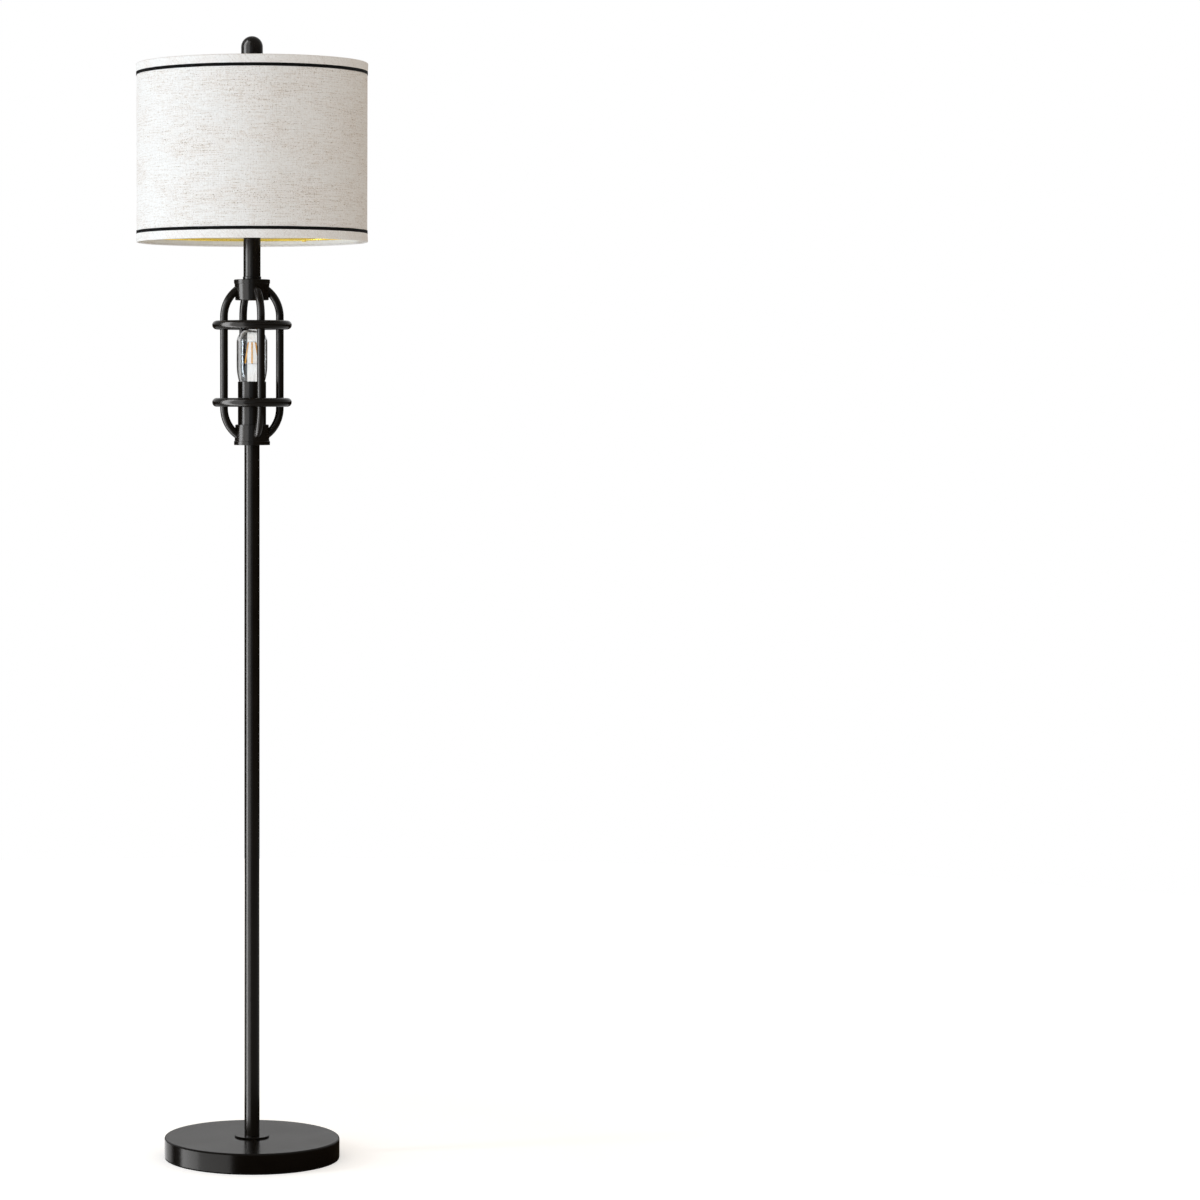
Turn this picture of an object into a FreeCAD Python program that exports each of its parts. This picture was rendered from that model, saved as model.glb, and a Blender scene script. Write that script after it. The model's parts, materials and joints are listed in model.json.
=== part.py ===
import FreeCAD, Part
import math
import os

V = FreeCAD.Vector
ORIGIN = V(0, 0, 0)
UP = V(0, 0, 1)

# Clearances
fit_gap = 0.05  # radial, between pieces that are pressed or screwed together
loose_gap = 0.3  # between pieces that lift off or turn past each other

# Base
base_d = 254.0
base_h = 30.0  # floor to the top of the cover
base_wall = 1.5
base_edge_r = 2.5
base_pad_t = 2.0
base_pad_inset = 0.5
weight_t = 14.0
weight_gap = 0.4
weight_chamfer = 2.0
base_washer_d = 40.0
base_washer_t = 2.0
base_collar_d = 50.0
base_collar_t = 2.5
base_collar_edge_r = 0.8

# Cord inlet bush, in the rear wall of the base
inlet_h = 8.25
inlet_bore_d = 6.5
inlet_neck_d = 9.6
inlet_flange_d = 12.0
inlet_outer_t = 1.5
inlet_inner_t = 1.2

# Hollow threaded pipe and its nuts, which hold the column together
pipe_d = 10.0
pipe_bore_d = 7.0
pipe_past_nut = 1.5
nut_across_flats = 16.0
nut_t = 5.0
insert_t = 14.0

# Column, in two screwed lengths
pole_d = 22.0
pole_wall = 1.2
lower_pole_length = 500.0
upper_pole_length = 500.0
joint_socket_t = 26.0
joint_stud_t = 15.0
joint_spigot_length = 18.0

# Cage, from the outer face of one flange to the outer face of the other
cage_h = 237.0
flange_d = 51.7
flange_t = 6.0
flange_edge_r = 0.8
flange_spigot_h = 3.0
flange_spigot_t = 2.8
cup_h = 29.5  # flange included
cup_flange_end_d = 50.0
cup_cage_end_d = 48.0
cup_wall = 2.2
cup_edge_r = 1.0
rib_count = 4
rib_d = 11.2
rib_wall = 1.2
rib_circle_r = 42.0
rib_straight = 131.0
rib_bend_r = 47.0
rib_bend_angle = 62.0
rib_tail = 2.0  # straight run past the bend, trimmed off at the cup
rib_first_angle = 45.0
wire_rib = 1  # the rib whose bore carries the wires to the upper light
wire_way_d = 6.4
ring_bar_d = 12.7
ring_circle_r = 50.7
ring_lower_h = 61.3  # from the lower flange face
ring_upper_h = 172.0

# Sleeve that hides the cage lampholder
sleeve_d = 40.5
sleeve_wall = 1.2
sleeve_above_tip = 35.0  # the sleeve's rim above the bulb cap's tip

# Lampholders and screw caps
cap_r = 13.0
cap_length = 26.0
cap_tip_r = 4.6
cap_skirt_h = 6.0
cap_in_rim = 24.0  # length of cap inside the lampholder's rim
socket_shell_gap = 0.4
socket_shell_t = 0.5
socket_shell_short = 3.0  # shell ends this far below the rim
socket_wall = 3.1
socket_foot_r = 11.0
socket_foot_h = 4.0
socket_shoulder_r = 5.0
socket_edge_r = 1.0
contact_h = 4.0
contact_r = 3.5
cage_socket_floor = 12.0
main_socket_floor = 26.0
pipe_in_socket = 8.0

# Tubular clear bulb in the cage
cage_bulb_top_h = 166.0  # from the lower flange face
cage_bulb_length = 110.0
cage_bulb_r = 22.0
cage_bulb_crown_r = 45.0
cage_bulb_corner_r = 18.0
cage_bulb_taper_r = 84.0
cage_bulb_taper_top = 59.0  # above the cap's tip
cage_bulb_taper_low = 35.0
glass_t = 0.9
stem_top = 48.0  # above the cap's tip
stem_foot_r = 9.0
stem_tip_r = 3.2
stem_rod_r = 1.2
filament_count = 4
filament_d = 1.8
filament_low = 61.0  # above the cap's tip
filament_high = 91.5
filament_low_r = 9.8
filament_high_r = 5.2
filament_first_angle = 27.3
support_t = 0.5
support_width = 0.7
support_hub_r = 2.0

# Neck tube between the cage and the upper light
neck_d = 24.5
neck_wall = 1.2
neck_length = 72.5
neck_collar_d = 26.2
neck_collar_h = 4.4
neck_collar_edge_r = 0.7
neck_cap_d = 27.0
neck_cap_t = 3.0
neck_cap_edge_r = 1.0
neck_cap_spigot = 12.0

# Pear-shaped bulb of the upper light
main_bulb_length = 110.0
main_bulb_r = 30.0
main_bulb_neck_r = 13.0
main_bulb_flare_r = 60.0

# Rotary switch in the upper lampholder
switch_h = 15.0  # spindle centre above the lampholder's foot
spindle_d = 5.0
spindle_inner_y = 4.0
knob_gap = 2.0  # from the lampholder's side to the knob
knob_d = 12.0
knob_tip_d = 10.6
knob_length = 14.0
knob_flutes = 12
knob_flute_d = 1.6
knob_wall_end = 4.0

# Harp and its saddle
saddle_t = 1.5
saddle_width = 8.0
saddle_disc_r = 13.0
saddle_half_span = 27.0
saddle_bend_r = 5.0
saddle_arm_h = 28.0
peg_h = 7.0
peg_root = 5.0
harp_wire_d = 4.0
harp_half_width = 57.0
harp_straight = 26.0
harp_flare_h = 58.0
harp_foot_bend_r = 30.0
harp_side_bend_r = 40.0
harp_top_bend_r = 52.0
harp_rise = 177.5  # from the saddle's pegs to the wire's top run
harp_sleeve_t = 1.1
harp_sleeve_h = 17.0
harp_sleeve_edge_r = 0.5
harp_block_r = 7.0
harp_block_below = 3.0
harp_block_above = 5.0
harp_stud_d = 6.3
harp_stud_h = 14.0

# Shade
shade_d = 330.0  # over the fabric
shade_h = 254.0  # over the hems
fabric_t = 0.8
liner_t = 0.8
hem_proud = 1.1
hem_fold_t = 0.8
hem_outer_h = 12.0
hem_inner_h = 6.0
trim_h = 4.5
trim_t = 0.6
shade_wire_d = 3.9
shade_wire_inset = 10.0  # wire centre to the nearer rim
spider_arm_count = 3
spider_arm_d = 3.0
spider_first_angle = 90.0
spider_arm_skin = 0.1
hub_r = 14.0
hub_t = 2.0
hub_below_rim = 12.0  # the hub's top face below the upper rim
clip_length_angle = 1.8
clip_t = 1.4
clip_angle = 89.0

# Finial
finial_d = 31.2
finial_h = 51.5
finial_wall = 1.5
finial_foot_r = 1.0
finial_plate_t = 3.0
finial_boss_r = 6.5
finial_boss_h = 15.5

# Levels and radii worked out from the values above
base_r = base_d / 2
base_inner_r = base_r - base_wall
weight_bottom = base_h - base_wall - weight_t
base_nut_bottom = weight_bottom - base_washer_t - nut_t
pipe_r = pipe_d / 2
pipe_hole_r = pipe_r + fit_gap
pole_r = pole_d / 2
pole_inner_r = pole_r - pole_wall
pole_foot = base_h + base_collar_t
pole_joint = pole_foot + lower_pole_length
cage_foot = pole_joint + upper_pole_length
cage_mid = cage_foot + cage_h / 2
cage_top = cage_foot + cage_h
cup_bore_r = cup_cage_end_d / 2 - cup_wall
sleeve_r = sleeve_d / 2
rib_r = rib_d / 2
ring_bar_r = ring_bar_d / 2
socket_bore_r = cap_r + socket_shell_gap + socket_shell_t
socket_r = socket_bore_r + socket_wall
cap_seat = contact_h + loose_gap
socket_cavity = cap_seat + cap_in_rim
cage_bulb_tip = cage_foot + cage_bulb_top_h - cage_bulb_length
cage_socket_foot = cage_bulb_tip - cap_seat - cage_socket_floor
sleeve_top = cage_bulb_tip + sleeve_above_tip
neck_r = neck_d / 2
neck_inner_r = neck_r - neck_wall
neck_top = cage_top + neck_length
saddle_foot = neck_top + neck_cap_t
main_socket_foot = saddle_foot + saddle_t
main_bulb_tip = main_socket_foot + main_socket_floor + cap_seat
peg_foot = saddle_foot + saddle_arm_h
peg_top = peg_foot + peg_h
harp_wire_r = harp_wire_d / 2
harp_top = peg_top + harp_rise
hub_bottom = harp_top + harp_block_above
hub_top = hub_bottom + hub_t
shade_top = hub_top + hub_below_rim
shade_bottom = shade_top - shade_h
shade_r = shade_d / 2
fabric_inner_r = shade_r - fabric_t
liner_inner_r = fabric_inner_r - liner_t
shade_wire_r = shade_wire_d / 2
shade_wire_circle_r = liner_inner_r - shade_wire_r - fit_gap


def closed_outline(start, *steps):
    """Face in the XZ plane: a step is a point, or the middle and end of an arc."""
    edges = []
    here = V(start[0], 0, start[1])
    for step in steps + (start,):
        if isinstance(step[0], tuple):
            middle = V(step[0][0], 0, step[0][1])
            there = V(step[1][0], 0, step[1][1])
            edges.append(Part.Arc(here, middle, there).toShape())
        else:
            there = V(step[0], 0, step[1])
            if here.distanceToPoint(there) < 1e-6:
                continue
            edges.append(Part.LineSegment(here, there).toShape())
        here = there
    return Part.Face(Part.Wire(edges))


def on_circle(centre, radius, angle):
    turn = math.radians(angle)
    return (centre[0] + radius * math.cos(turn), centre[1] + radius * math.sin(turn))


def arc_step(centre, radius, start_angle, end_angle):
    """The middle and the end of an arc given by its centre, for closed_outline."""
    middle = on_circle(centre, radius, (start_angle + end_angle) / 2)
    return (middle, on_circle(centre, radius, end_angle))


def lathe(start, *steps):
    return closed_outline(start, *steps).revolve(ORIGIN, UP, 360)


def rod(radius, bottom, top):
    return Part.makeCylinder(radius, top - bottom, V(0, 0, bottom))


def tube(outer_r, inner_r, bottom, top):
    return rod(outer_r, bottom, top).cut(rod(inner_r, bottom, top))


def turned_ring(outer_r, inner_r, bottom, top, bottom_round=0.0, top_round=0.0):
    """Ring about the axis, with its outer edges rounded."""
    steps = [(outer_r - bottom_round, bottom)]
    if bottom_round:
        centre = (outer_r - bottom_round, bottom + bottom_round)
        steps.append(arc_step(centre, bottom_round, -90, 0))
    steps.append((outer_r, top - top_round))
    if top_round:
        centre = (outer_r - top_round, top - top_round)
        steps.append(arc_step(centre, top_round, 0, 90))
    steps.append((inner_r, top))
    return lathe((inner_r, bottom), *steps)


def unit(vector):
    return vector * (1.0 / vector.Length)


def straight_bar(start, end, radius):
    return Part.makeCylinder(radius, start.distanceToPoint(end), start, end - start)


def bent_bar(points, bend_radii, radius):
    """Round bar along straight runs joined by tangent bends."""
    pieces = []
    start = points[0]
    for before, corner, after, bend_r in zip(points, points[1:], points[2:], bend_radii):
        into = unit(corner - before)
        out = unit(after - corner)
        turn = into.getAngle(out)
        trim = bend_r * math.tan(turn / 2)
        bend_start = corner - into * trim
        side = unit(out - into * into.dot(out))
        section = Part.Face(Part.Wire(Part.makeCircle(radius, bend_start, into)))
        centre = bend_start + side * bend_r
        pieces.append(straight_bar(start, bend_start, radius))
        pieces.append(section.revolve(centre, into.cross(side), math.degrees(turn)))
        start = corner + out * trim
    pieces.append(straight_bar(start, points[-1], radius))
    return pieces[0].fuse(pieces[1:])


def hex_nut(bottom):
    corner_r = nut_across_flats / 2 / math.cos(math.radians(30))
    corners = [V(*on_circle((0, 0), corner_r, 60 * k), bottom) for k in range(7)]
    blank = Part.Face(Part.makePolygon(corners)).extrude(V(0, 0, nut_t))
    return blank.cut(rod(pipe_hole_r, bottom, bottom + nut_t))


def pipe(bottom, top):
    return tube(pipe_r, pipe_bore_d / 2, bottom, top)


def insert(outer_r, bottom, top):
    return tube(outer_r - fit_gap, pipe_hole_r, bottom, top)


def around(shape, angle):
    turned = shape.copy()
    turned.rotate(ORIGIN, UP, angle)
    return turned


def flipped(shape):
    """The same piece at the other end of the cage."""
    turned = shape.copy()
    turned.rotate(V(0, 0, cage_mid), V(1, 0, 0), 180)
    return turned


# Base

def base_cover():
    """Pressed shell, open below, with a hole for the pipe and one for the inlet."""
    top = base_h - base_wall
    inner_round = base_edge_r - base_wall
    inner_centre = (base_inner_r - inner_round, top - inner_round)
    outer_centre = (base_r - base_edge_r, base_h - base_edge_r)
    shell = lathe(
        (pipe_hole_r, top),
        (base_inner_r - inner_round, top),
        arc_step(inner_centre, inner_round, 90, 0),
        (base_inner_r, base_pad_t),
        (base_r, base_pad_t),
        (base_r, base_h - base_edge_r),
        arc_step(outer_centre, base_edge_r, 0, 90),
        (pipe_hole_r, base_h),
    )
    hole = Part.makeCylinder(
        inlet_neck_d / 2 + fit_gap, base_r, V(0, base_r / 2, inlet_h), V(0, 1, 0)
    )
    return shell.cut(hole)


def base_weight():
    """Cast disc that hangs from the cover's top, chamfered where the cover bends."""
    outer = base_inner_r - weight_gap
    top = base_h - base_wall
    return lathe(
        (pipe_hole_r, weight_bottom),
        (outer - weight_chamfer, weight_bottom),
        (outer, weight_bottom + weight_chamfer),
        (outer, top - weight_chamfer),
        (outer - weight_chamfer, top),
        (pipe_hole_r, top),
    )


def inlet_bush():
    """Flanged bush, its groove as deep as the curved wall needs."""
    half = inlet_flange_d / 2
    bow = base_inner_r - math.sqrt(base_inner_r**2 - half**2)
    inner_face = base_inner_r - bow - fit_gap
    axis = V(0, 1, 0)
    flange_start = V(0, inner_face - inlet_inner_t, inlet_h)
    pieces = [
        Part.makeCylinder(half, inlet_inner_t, flange_start, axis),
        Part.makeCylinder(half, inlet_outer_t, V(0, base_r, inlet_h), axis),
    ]
    neck = Part.makeCylinder(inlet_neck_d / 2, base_r - inner_face, V(0, inner_face, inlet_h), axis)
    length = base_r + inlet_outer_t - flange_start.y
    bore = Part.makeCylinder(inlet_bore_d / 2, length, flange_start, axis)
    return neck.fuse(pieces).cut(bore).removeSplitter()


# Column

def pole_joint_stud():
    """Plug in the upper length with a hollow spigot that screws into the lower."""
    plug = rod(pole_inner_r - fit_gap, pole_joint, pole_joint + joint_stud_t)
    spigot = rod(pipe_r, pole_joint - joint_spigot_length, pole_joint)
    bore = rod(pipe_bore_d / 2, pole_joint - joint_spigot_length, pole_joint + joint_stud_t)
    return plug.fuse(spigot).cut(bore)


# Cage

def cup_flange():
    """Disc that closes the cup, with a spigot that centres the cup."""
    disc = turned_ring(
        flange_d / 2, pipe_hole_r, cage_foot, cage_foot + flange_t, flange_edge_r, flange_edge_r
    )
    spigot_r = cup_bore_r - fit_gap
    top = cage_foot + flange_t + flange_spigot_h
    return disc.fuse(tube(spigot_r, spigot_r - flange_spigot_t, cage_foot + flange_t, top))


def cup_body(opening_r):
    """Tapered cup, with a round opening at its cage end where opening_r isn't zero."""
    foot = cage_foot + flange_t
    end = cage_foot + cup_h
    end_r = cup_cage_end_d / 2
    return lathe(
        (cup_bore_r, foot),
        (cup_flange_end_d / 2, foot),
        (end_r, end - cup_edge_r),
        arc_step((end_r - cup_edge_r, end - cup_edge_r), cup_edge_r, 0, 90),
        (opening_r, end),
        (opening_r, end - cup_wall),
        (cup_bore_r, end - cup_wall),
    )


def cup_envelope():
    """The cup and flange without their bores, which trim the rib ends."""
    side = cage_foot + flange_t
    end = cage_foot + cup_h
    return lathe(
        (0, cage_foot),
        (cup_flange_end_d / 2, cage_foot),
        (cup_flange_end_d / 2, side),
        (cup_cage_end_d / 2, end),
        (0, end),
    )


def rib_bar(radius):
    """Round bar along a rib's centreline, from inside one cup to inside the other."""
    half = rib_straight / 2
    trim = rib_bend_r * math.tan(math.radians(rib_bend_angle / 2))
    tail = trim + rib_tail
    turn = math.radians(rib_bend_angle)
    corner = half + trim
    end_x = rib_circle_r - tail * math.sin(turn)
    end_z = corner + tail * math.cos(turn)
    heights = [(end_x, -end_z), (rib_circle_r, -corner), (rib_circle_r, corner), (end_x, end_z)]
    points = [V(x, 0, cage_mid + z) for x, z in heights]
    return bent_bar(points, [rib_bend_r, rib_bend_r], radius)


def rib_angle(index):
    return rib_first_angle + 360.0 / rib_count * index


def rib_blank():
    """One bent tube, trimmed to the sides of both cups."""
    blank = rib_bar(rib_r).cut(rib_bar(rib_r - rib_wall))
    return blank.cut([cup_envelope(), flipped(cup_envelope())])


def cage_ring(height):
    """Ring of round bar with a saddle notch at each rib."""
    ring = Part.makeTorus(ring_circle_r, ring_bar_r, V(0, 0, cage_foot + height))
    low = cage_foot + height - ring_bar_d
    notch = Part.makeCylinder(rib_r + fit_gap, 2 * ring_bar_d, V(rib_circle_r, 0, low))
    return ring.cut([around(notch, rib_angle(k)) for k in range(rib_count)])


# Lampholders and bulbs

def socket_body(foot, floor):
    """Moulded lampholder: threaded foot, rounded shoulder and an open cavity."""
    rim = foot + floor + socket_cavity
    shoulder = foot + socket_foot_h
    centre = (socket_r - socket_shoulder_r, shoulder + socket_shoulder_r)
    body = lathe(
        (0, foot),
        (socket_foot_r, foot),
        (socket_foot_r, shoulder),
        arc_step(centre, socket_shoulder_r, -90, 0),
        (socket_r, rim - socket_edge_r),
        arc_step((socket_r - socket_edge_r, rim - socket_edge_r), socket_edge_r, 0, 90),
        (socket_bore_r, rim),
        (socket_bore_r, foot + floor),
        (0, foot + floor),
    )
    return body.cut(rod(pipe_hole_r, foot, foot + pipe_in_socket))


def socket_shell(foot, floor):
    """Screw shell that lines the cavity."""
    rim = foot + floor + socket_cavity - socket_shell_short
    return tube(socket_bore_r - fit_gap, socket_bore_r - socket_shell_t, foot + floor, rim)


def socket_contact(foot, floor):
    bottom = foot + floor
    return turned_ring(contact_r, 0, bottom, bottom + contact_h, top_round=contact_r / 3)


def screw_cap(tip):
    """Bulb cap: centre contact, sloped insulator and the screw shell."""
    return lathe(
        (0, tip),
        (cap_tip_r, tip),
        (cap_r - 1, tip + cap_skirt_h - 1),
        (cap_r, tip + cap_skirt_h),
        (cap_r, tip + cap_length),
        (0, tip + cap_length),
    )


def cage_glass_solid(inset, foot):
    """Solid of revolution of the tubular bulb, its surface moved in by inset."""
    tip = cage_bulb_tip
    top = tip + cage_bulb_length
    side_x = cage_bulb_r - cage_bulb_corner_r
    crown_z = top - cage_bulb_crown_r
    rise = math.sqrt((cage_bulb_crown_r - cage_bulb_corner_r) ** 2 - side_x**2)
    corner_z = crown_z + rise
    crown_edge = math.degrees(math.atan2(rise, side_x))
    taper_x = cage_bulb_r - cage_bulb_taper_r
    taper_z = tip + cage_bulb_taper_top
    drop = cage_bulb_taper_top - cage_bulb_taper_low
    taper_angle = -math.degrees(math.asin(drop / cage_bulb_taper_r))
    low = on_circle((taper_x, taper_z), cage_bulb_taper_r - inset, taper_angle)
    neck_r = cap_r - inset
    neck_z = tip + cap_length + glass_t
    shoulder = ((low[0] + neck_r) / 2 + 0.9, (low[1] + neck_z) / 2 - 0.9)
    return lathe(
        (0, foot),
        (neck_r, foot),
        (neck_r, neck_z),
        (shoulder, low),
        arc_step((taper_x, taper_z), cage_bulb_taper_r - inset, taper_angle, 0),
        (cage_bulb_r - inset, corner_z),
        arc_step((side_x, corner_z), cage_bulb_corner_r - inset, 0, crown_edge),
        arc_step((0, crown_z), cage_bulb_crown_r - inset, crown_edge, 90),
    )


def cage_bulb_glass():
    foot = cage_bulb_tip + cap_length
    return cage_glass_solid(0, foot).cut(cage_glass_solid(glass_t, foot))


def cage_bulb_stem():
    """Glass mount: a flared foot on the cap and a thin rod up the middle."""
    foot = cage_bulb_tip + cap_length
    top = cage_bulb_tip + stem_top
    waist = foot + (top - foot) / 2
    flare = lathe(
        (0, foot),
        (stem_foot_r, foot),
        (((stem_foot_r + stem_tip_r) / 2 - 1, (foot + waist) / 2), (stem_tip_r, waist)),
        (stem_tip_r, top),
        (0, top),
    )
    return flare.fuse(rod(stem_rod_r, top, cage_bulb_tip + filament_high))


def filament_angle(index):
    return filament_first_angle + 360.0 / filament_count * index


def support_spider(bottom, reach, bore_r):
    """Flat wire star that carries one end of each filament."""
    star = rod(support_hub_r, bottom, bottom + support_t)
    half = support_width / 2
    for k in range(filament_count):
        arm = Part.makeBox(reach + filament_d / 2, support_width, support_t, V(0, -half, bottom))
        star = star.fuse(around(arm, filament_angle(k)))
    if bore_r:
        star = star.cut(rod(bore_r, bottom, bottom + support_t))
    return star.removeSplitter()


def cage_bulb_supports():
    low = support_spider(
        cage_bulb_tip + filament_low - support_t, filament_low_r, stem_rod_r + fit_gap
    )
    high = support_spider(cage_bulb_tip + filament_high, filament_high_r, 0)
    return [low, high]


def filaments():
    """Slanted rods with level ends, which stand between the two supports."""
    rods = []
    for k in range(filament_count):
        turn = math.radians(filament_angle(k))
        rings = []
        for radius, height in ((filament_low_r, filament_low), (filament_high_r, filament_high)):
            centre = V(radius * math.cos(turn), radius * math.sin(turn), cage_bulb_tip + height)
            rings.append(Part.Wire(Part.makeCircle(filament_d / 2, centre, UP)))
        rods.append(Part.makeLoft(rings, True))
    return rods


def main_glass_solid(inset, foot):
    """Ball and flared neck of the pear-shaped bulb, moved in by inset."""
    ball = (0, main_bulb_tip + main_bulb_length - main_bulb_r)
    flare_x = main_bulb_neck_r + main_bulb_flare_r
    drop = math.sqrt((main_bulb_r + main_bulb_flare_r) ** 2 - flare_x**2)
    flare = (flare_x, ball[1] - drop)
    tangent = math.degrees(math.atan2(drop, -flare_x))
    neck_r = main_bulb_neck_r - inset
    return lathe(
        (0, foot),
        (neck_r, foot),
        (neck_r, flare[1]),
        arc_step(flare, main_bulb_flare_r + inset, 180, tangent),
        arc_step(ball, main_bulb_r - inset, tangent - 180, 90),
    )


def main_bulb_glass():
    foot = main_bulb_tip + cap_length
    return main_glass_solid(0, foot).cut(main_glass_solid(glass_t, foot))


# Rotary switch

def switch_axis_bar(radius, inner_y, outer_y):
    height = main_socket_foot + switch_h
    return Part.makeCylinder(radius, outer_y - inner_y, V(0, -inner_y, height), V(0, -1, 0))


def main_socket_body():
    body = socket_body(main_socket_foot, main_socket_floor)
    return body.cut(switch_axis_bar(spindle_d / 2 + fit_gap, spindle_inner_y, socket_r + 1))


def switch_spindle():
    end = socket_r + knob_gap + knob_length - knob_wall_end
    return switch_axis_bar(spindle_d / 2, spindle_inner_y + loose_gap, end)


def switch_knob():
    """Tapered knob with flutes along its side, pressed on the spindle."""
    start = socket_r + knob_gap
    height = main_socket_foot + switch_h
    at = V(0, -start, height)
    body = Part.makeCone(knob_d / 2, knob_tip_d / 2, knob_length, at, V(0, -1, 0))
    for k in range(knob_flutes):
        x, z = on_circle((0, height), knob_d / 2, 360.0 / knob_flutes * k)
        foot = V(x, -start, z)
        body = body.cut(Part.makeCylinder(knob_flute_d / 2, knob_length, foot, V(0, -1, 0)))
    bore = switch_axis_bar(spindle_d / 2 + fit_gap, start, start + knob_length - knob_wall_end)
    return body.cut(bore)


# Harp

def harp_saddle():
    """Strap over the neck cap with upright arms that end in round pegs."""
    inner_x = saddle_half_span - saddle_t / 2
    outer_x = saddle_half_span + saddle_t / 2
    inner_r = saddle_bend_r - saddle_t
    low = saddle_foot
    left = (-outer_x + saddle_bend_r, low + saddle_bend_r)
    right = (outer_x - saddle_bend_r, low + saddle_bend_r)
    strap = closed_outline(
        (-outer_x, peg_foot),
        (-outer_x, low + saddle_bend_r),
        arc_step(left, saddle_bend_r, 180, 270),
        (outer_x - saddle_bend_r, low),
        arc_step(right, saddle_bend_r, 270, 360),
        (outer_x, peg_foot),
        (inner_x, peg_foot),
        (inner_x, low + saddle_bend_r),
        arc_step(right, inner_r, 360, 270),
        (-outer_x + saddle_bend_r, low + saddle_t),
        arc_step(left, inner_r, 270, 180),
        (-inner_x, peg_foot),
    ).extrude(V(0, saddle_width, 0))
    strap.translate(V(0, -saddle_width / 2, 0))
    pegs = []
    for side in (-1, 1):
        foot = V(side * saddle_half_span, 0, peg_foot - peg_root)
        pegs.append(Part.makeCylinder(harp_wire_r, peg_root + peg_h, foot))
    disc = rod(saddle_disc_r, low, low + saddle_t)
    hole = rod(pipe_hole_r, low, low + saddle_t)
    return strap.fuse([disc] + pegs).cut(hole).removeSplitter()


def harp_bow(radius):
    """The bent wire of the harp, from one peg over the top to the other."""
    flare = peg_top + harp_straight
    side = flare + harp_flare_h
    half = [
        (saddle_half_span, peg_top),
        (saddle_half_span, flare),
        (harp_half_width, side),
        (harp_half_width, harp_top),
    ]
    mirrored = [(-x, z) for x, z in reversed(half)]
    radii = [harp_foot_bend_r, harp_side_bend_r, harp_top_bend_r]
    points = [V(x, 0, z) for x, z in half + mirrored]
    return bent_bar(points, radii + radii[::-1], radius)


def harp_stud():
    """Block on the top run of the wire, with the post for the shade and finial."""
    block = rod(harp_block_r, harp_top - harp_block_below, hub_bottom)
    post = rod(harp_stud_d / 2, hub_bottom, hub_bottom + harp_stud_h)
    reach = V(harp_block_r + 1, 0, 0)
    middle = V(0, 0, harp_top)
    wire_hole = straight_bar(middle - reach, middle + reach, harp_wire_r + fit_gap)
    return block.fuse(post).cut(wire_hole)


def harp_sleeve(side):
    inner_r = harp_wire_r + loose_gap
    sleeve = turned_ring(
        inner_r + harp_sleeve_t,
        inner_r,
        peg_foot,
        peg_foot + harp_sleeve_h,
        harp_sleeve_edge_r,
        harp_sleeve_edge_r,
    )
    sleeve.translate(V(side * saddle_half_span, 0, 0))
    return sleeve


# Shade

def hem(rim, inward):
    """Tape folded over a rim; inward is 1 where the drum lies above the rim."""
    outer = shade_r + hem_proud
    inner = liner_inner_r - hem_fold_t
    turn = rim + inward * hem_fold_t
    return lathe(
        (inner, rim),
        (outer, rim),
        (outer, rim + inward * hem_outer_h),
        (shade_r, rim + inward * hem_outer_h),
        (shade_r, turn),
        (liner_inner_r, turn),
        (liner_inner_r, rim + inward * hem_inner_h),
        (inner, rim + inward * hem_inner_h),
    )


def trims():
    low = shade_bottom + hem_outer_h
    high = shade_top - hem_outer_h - trim_h
    return [tube(shade_r + trim_t, shade_r, z, z + trim_h) for z in (low, high)]


def shade_wire(height):
    return Part.makeTorus(shade_wire_circle_r, shade_wire_r, V(0, 0, height))


def shade_spider():
    """Top wire ring, welded arms and the hub washer that the finial clamps."""
    ring_z = shade_top - shade_wire_inset
    hub = rod(hub_r, hub_bottom, hub_top)
    arm_z = hub_top - spider_arm_d / 2 - spider_arm_skin
    inner = V(hub_r - spider_arm_d, 0, arm_z)
    arm = straight_bar(inner, V(shade_wire_circle_r, 0, ring_z), spider_arm_d / 2)
    step = 360.0 / spider_arm_count
    arms = [around(arm, spider_first_angle + step * k) for k in range(spider_arm_count)]
    whole = shade_wire(ring_z).fuse([hub] + arms)
    return whole.cut(rod(harp_stud_d / 2 + loose_gap, hub_bottom, hub_top))


def ring_clip():
    """Crimped band over the joint of the lower wire ring, open towards the liner."""
    height = shade_bottom + shade_wire_inset
    start = V(shade_wire_circle_r, 0, height)
    section = Part.Face(Part.Wire(Part.makeCircle(shade_wire_r + clip_t, start, V(0, 1, 0))))
    band = section.revolve(V(0, 0, height), UP, clip_length_angle)
    band = around(band, clip_angle - clip_length_angle / 2)
    low = height - 2 * shade_wire_d
    outside = tube(shade_r, liner_inner_r - fit_gap, low, low + 4 * shade_wire_d)
    wire = Part.makeTorus(shade_wire_circle_r, shade_wire_r + fit_gap, V(0, 0, height))
    return band.cut([outside, wire])


# Finial

def finial_solid(inset, foot_round):
    """Domed cap on its side wall, moved in by inset."""
    radius = finial_d / 2 - inset
    centre = (0, hub_top + finial_h - finial_d / 2)
    steps = [(radius - foot_round, hub_top)]
    if foot_round:
        corner = (radius - foot_round, hub_top + foot_round)
        steps.append(arc_step(corner, foot_round, -90, 0))
    steps.append((radius, centre[1]))
    steps.append(arc_step(centre, radius, 0, 90))
    return lathe((0, hub_top), *steps)


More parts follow.
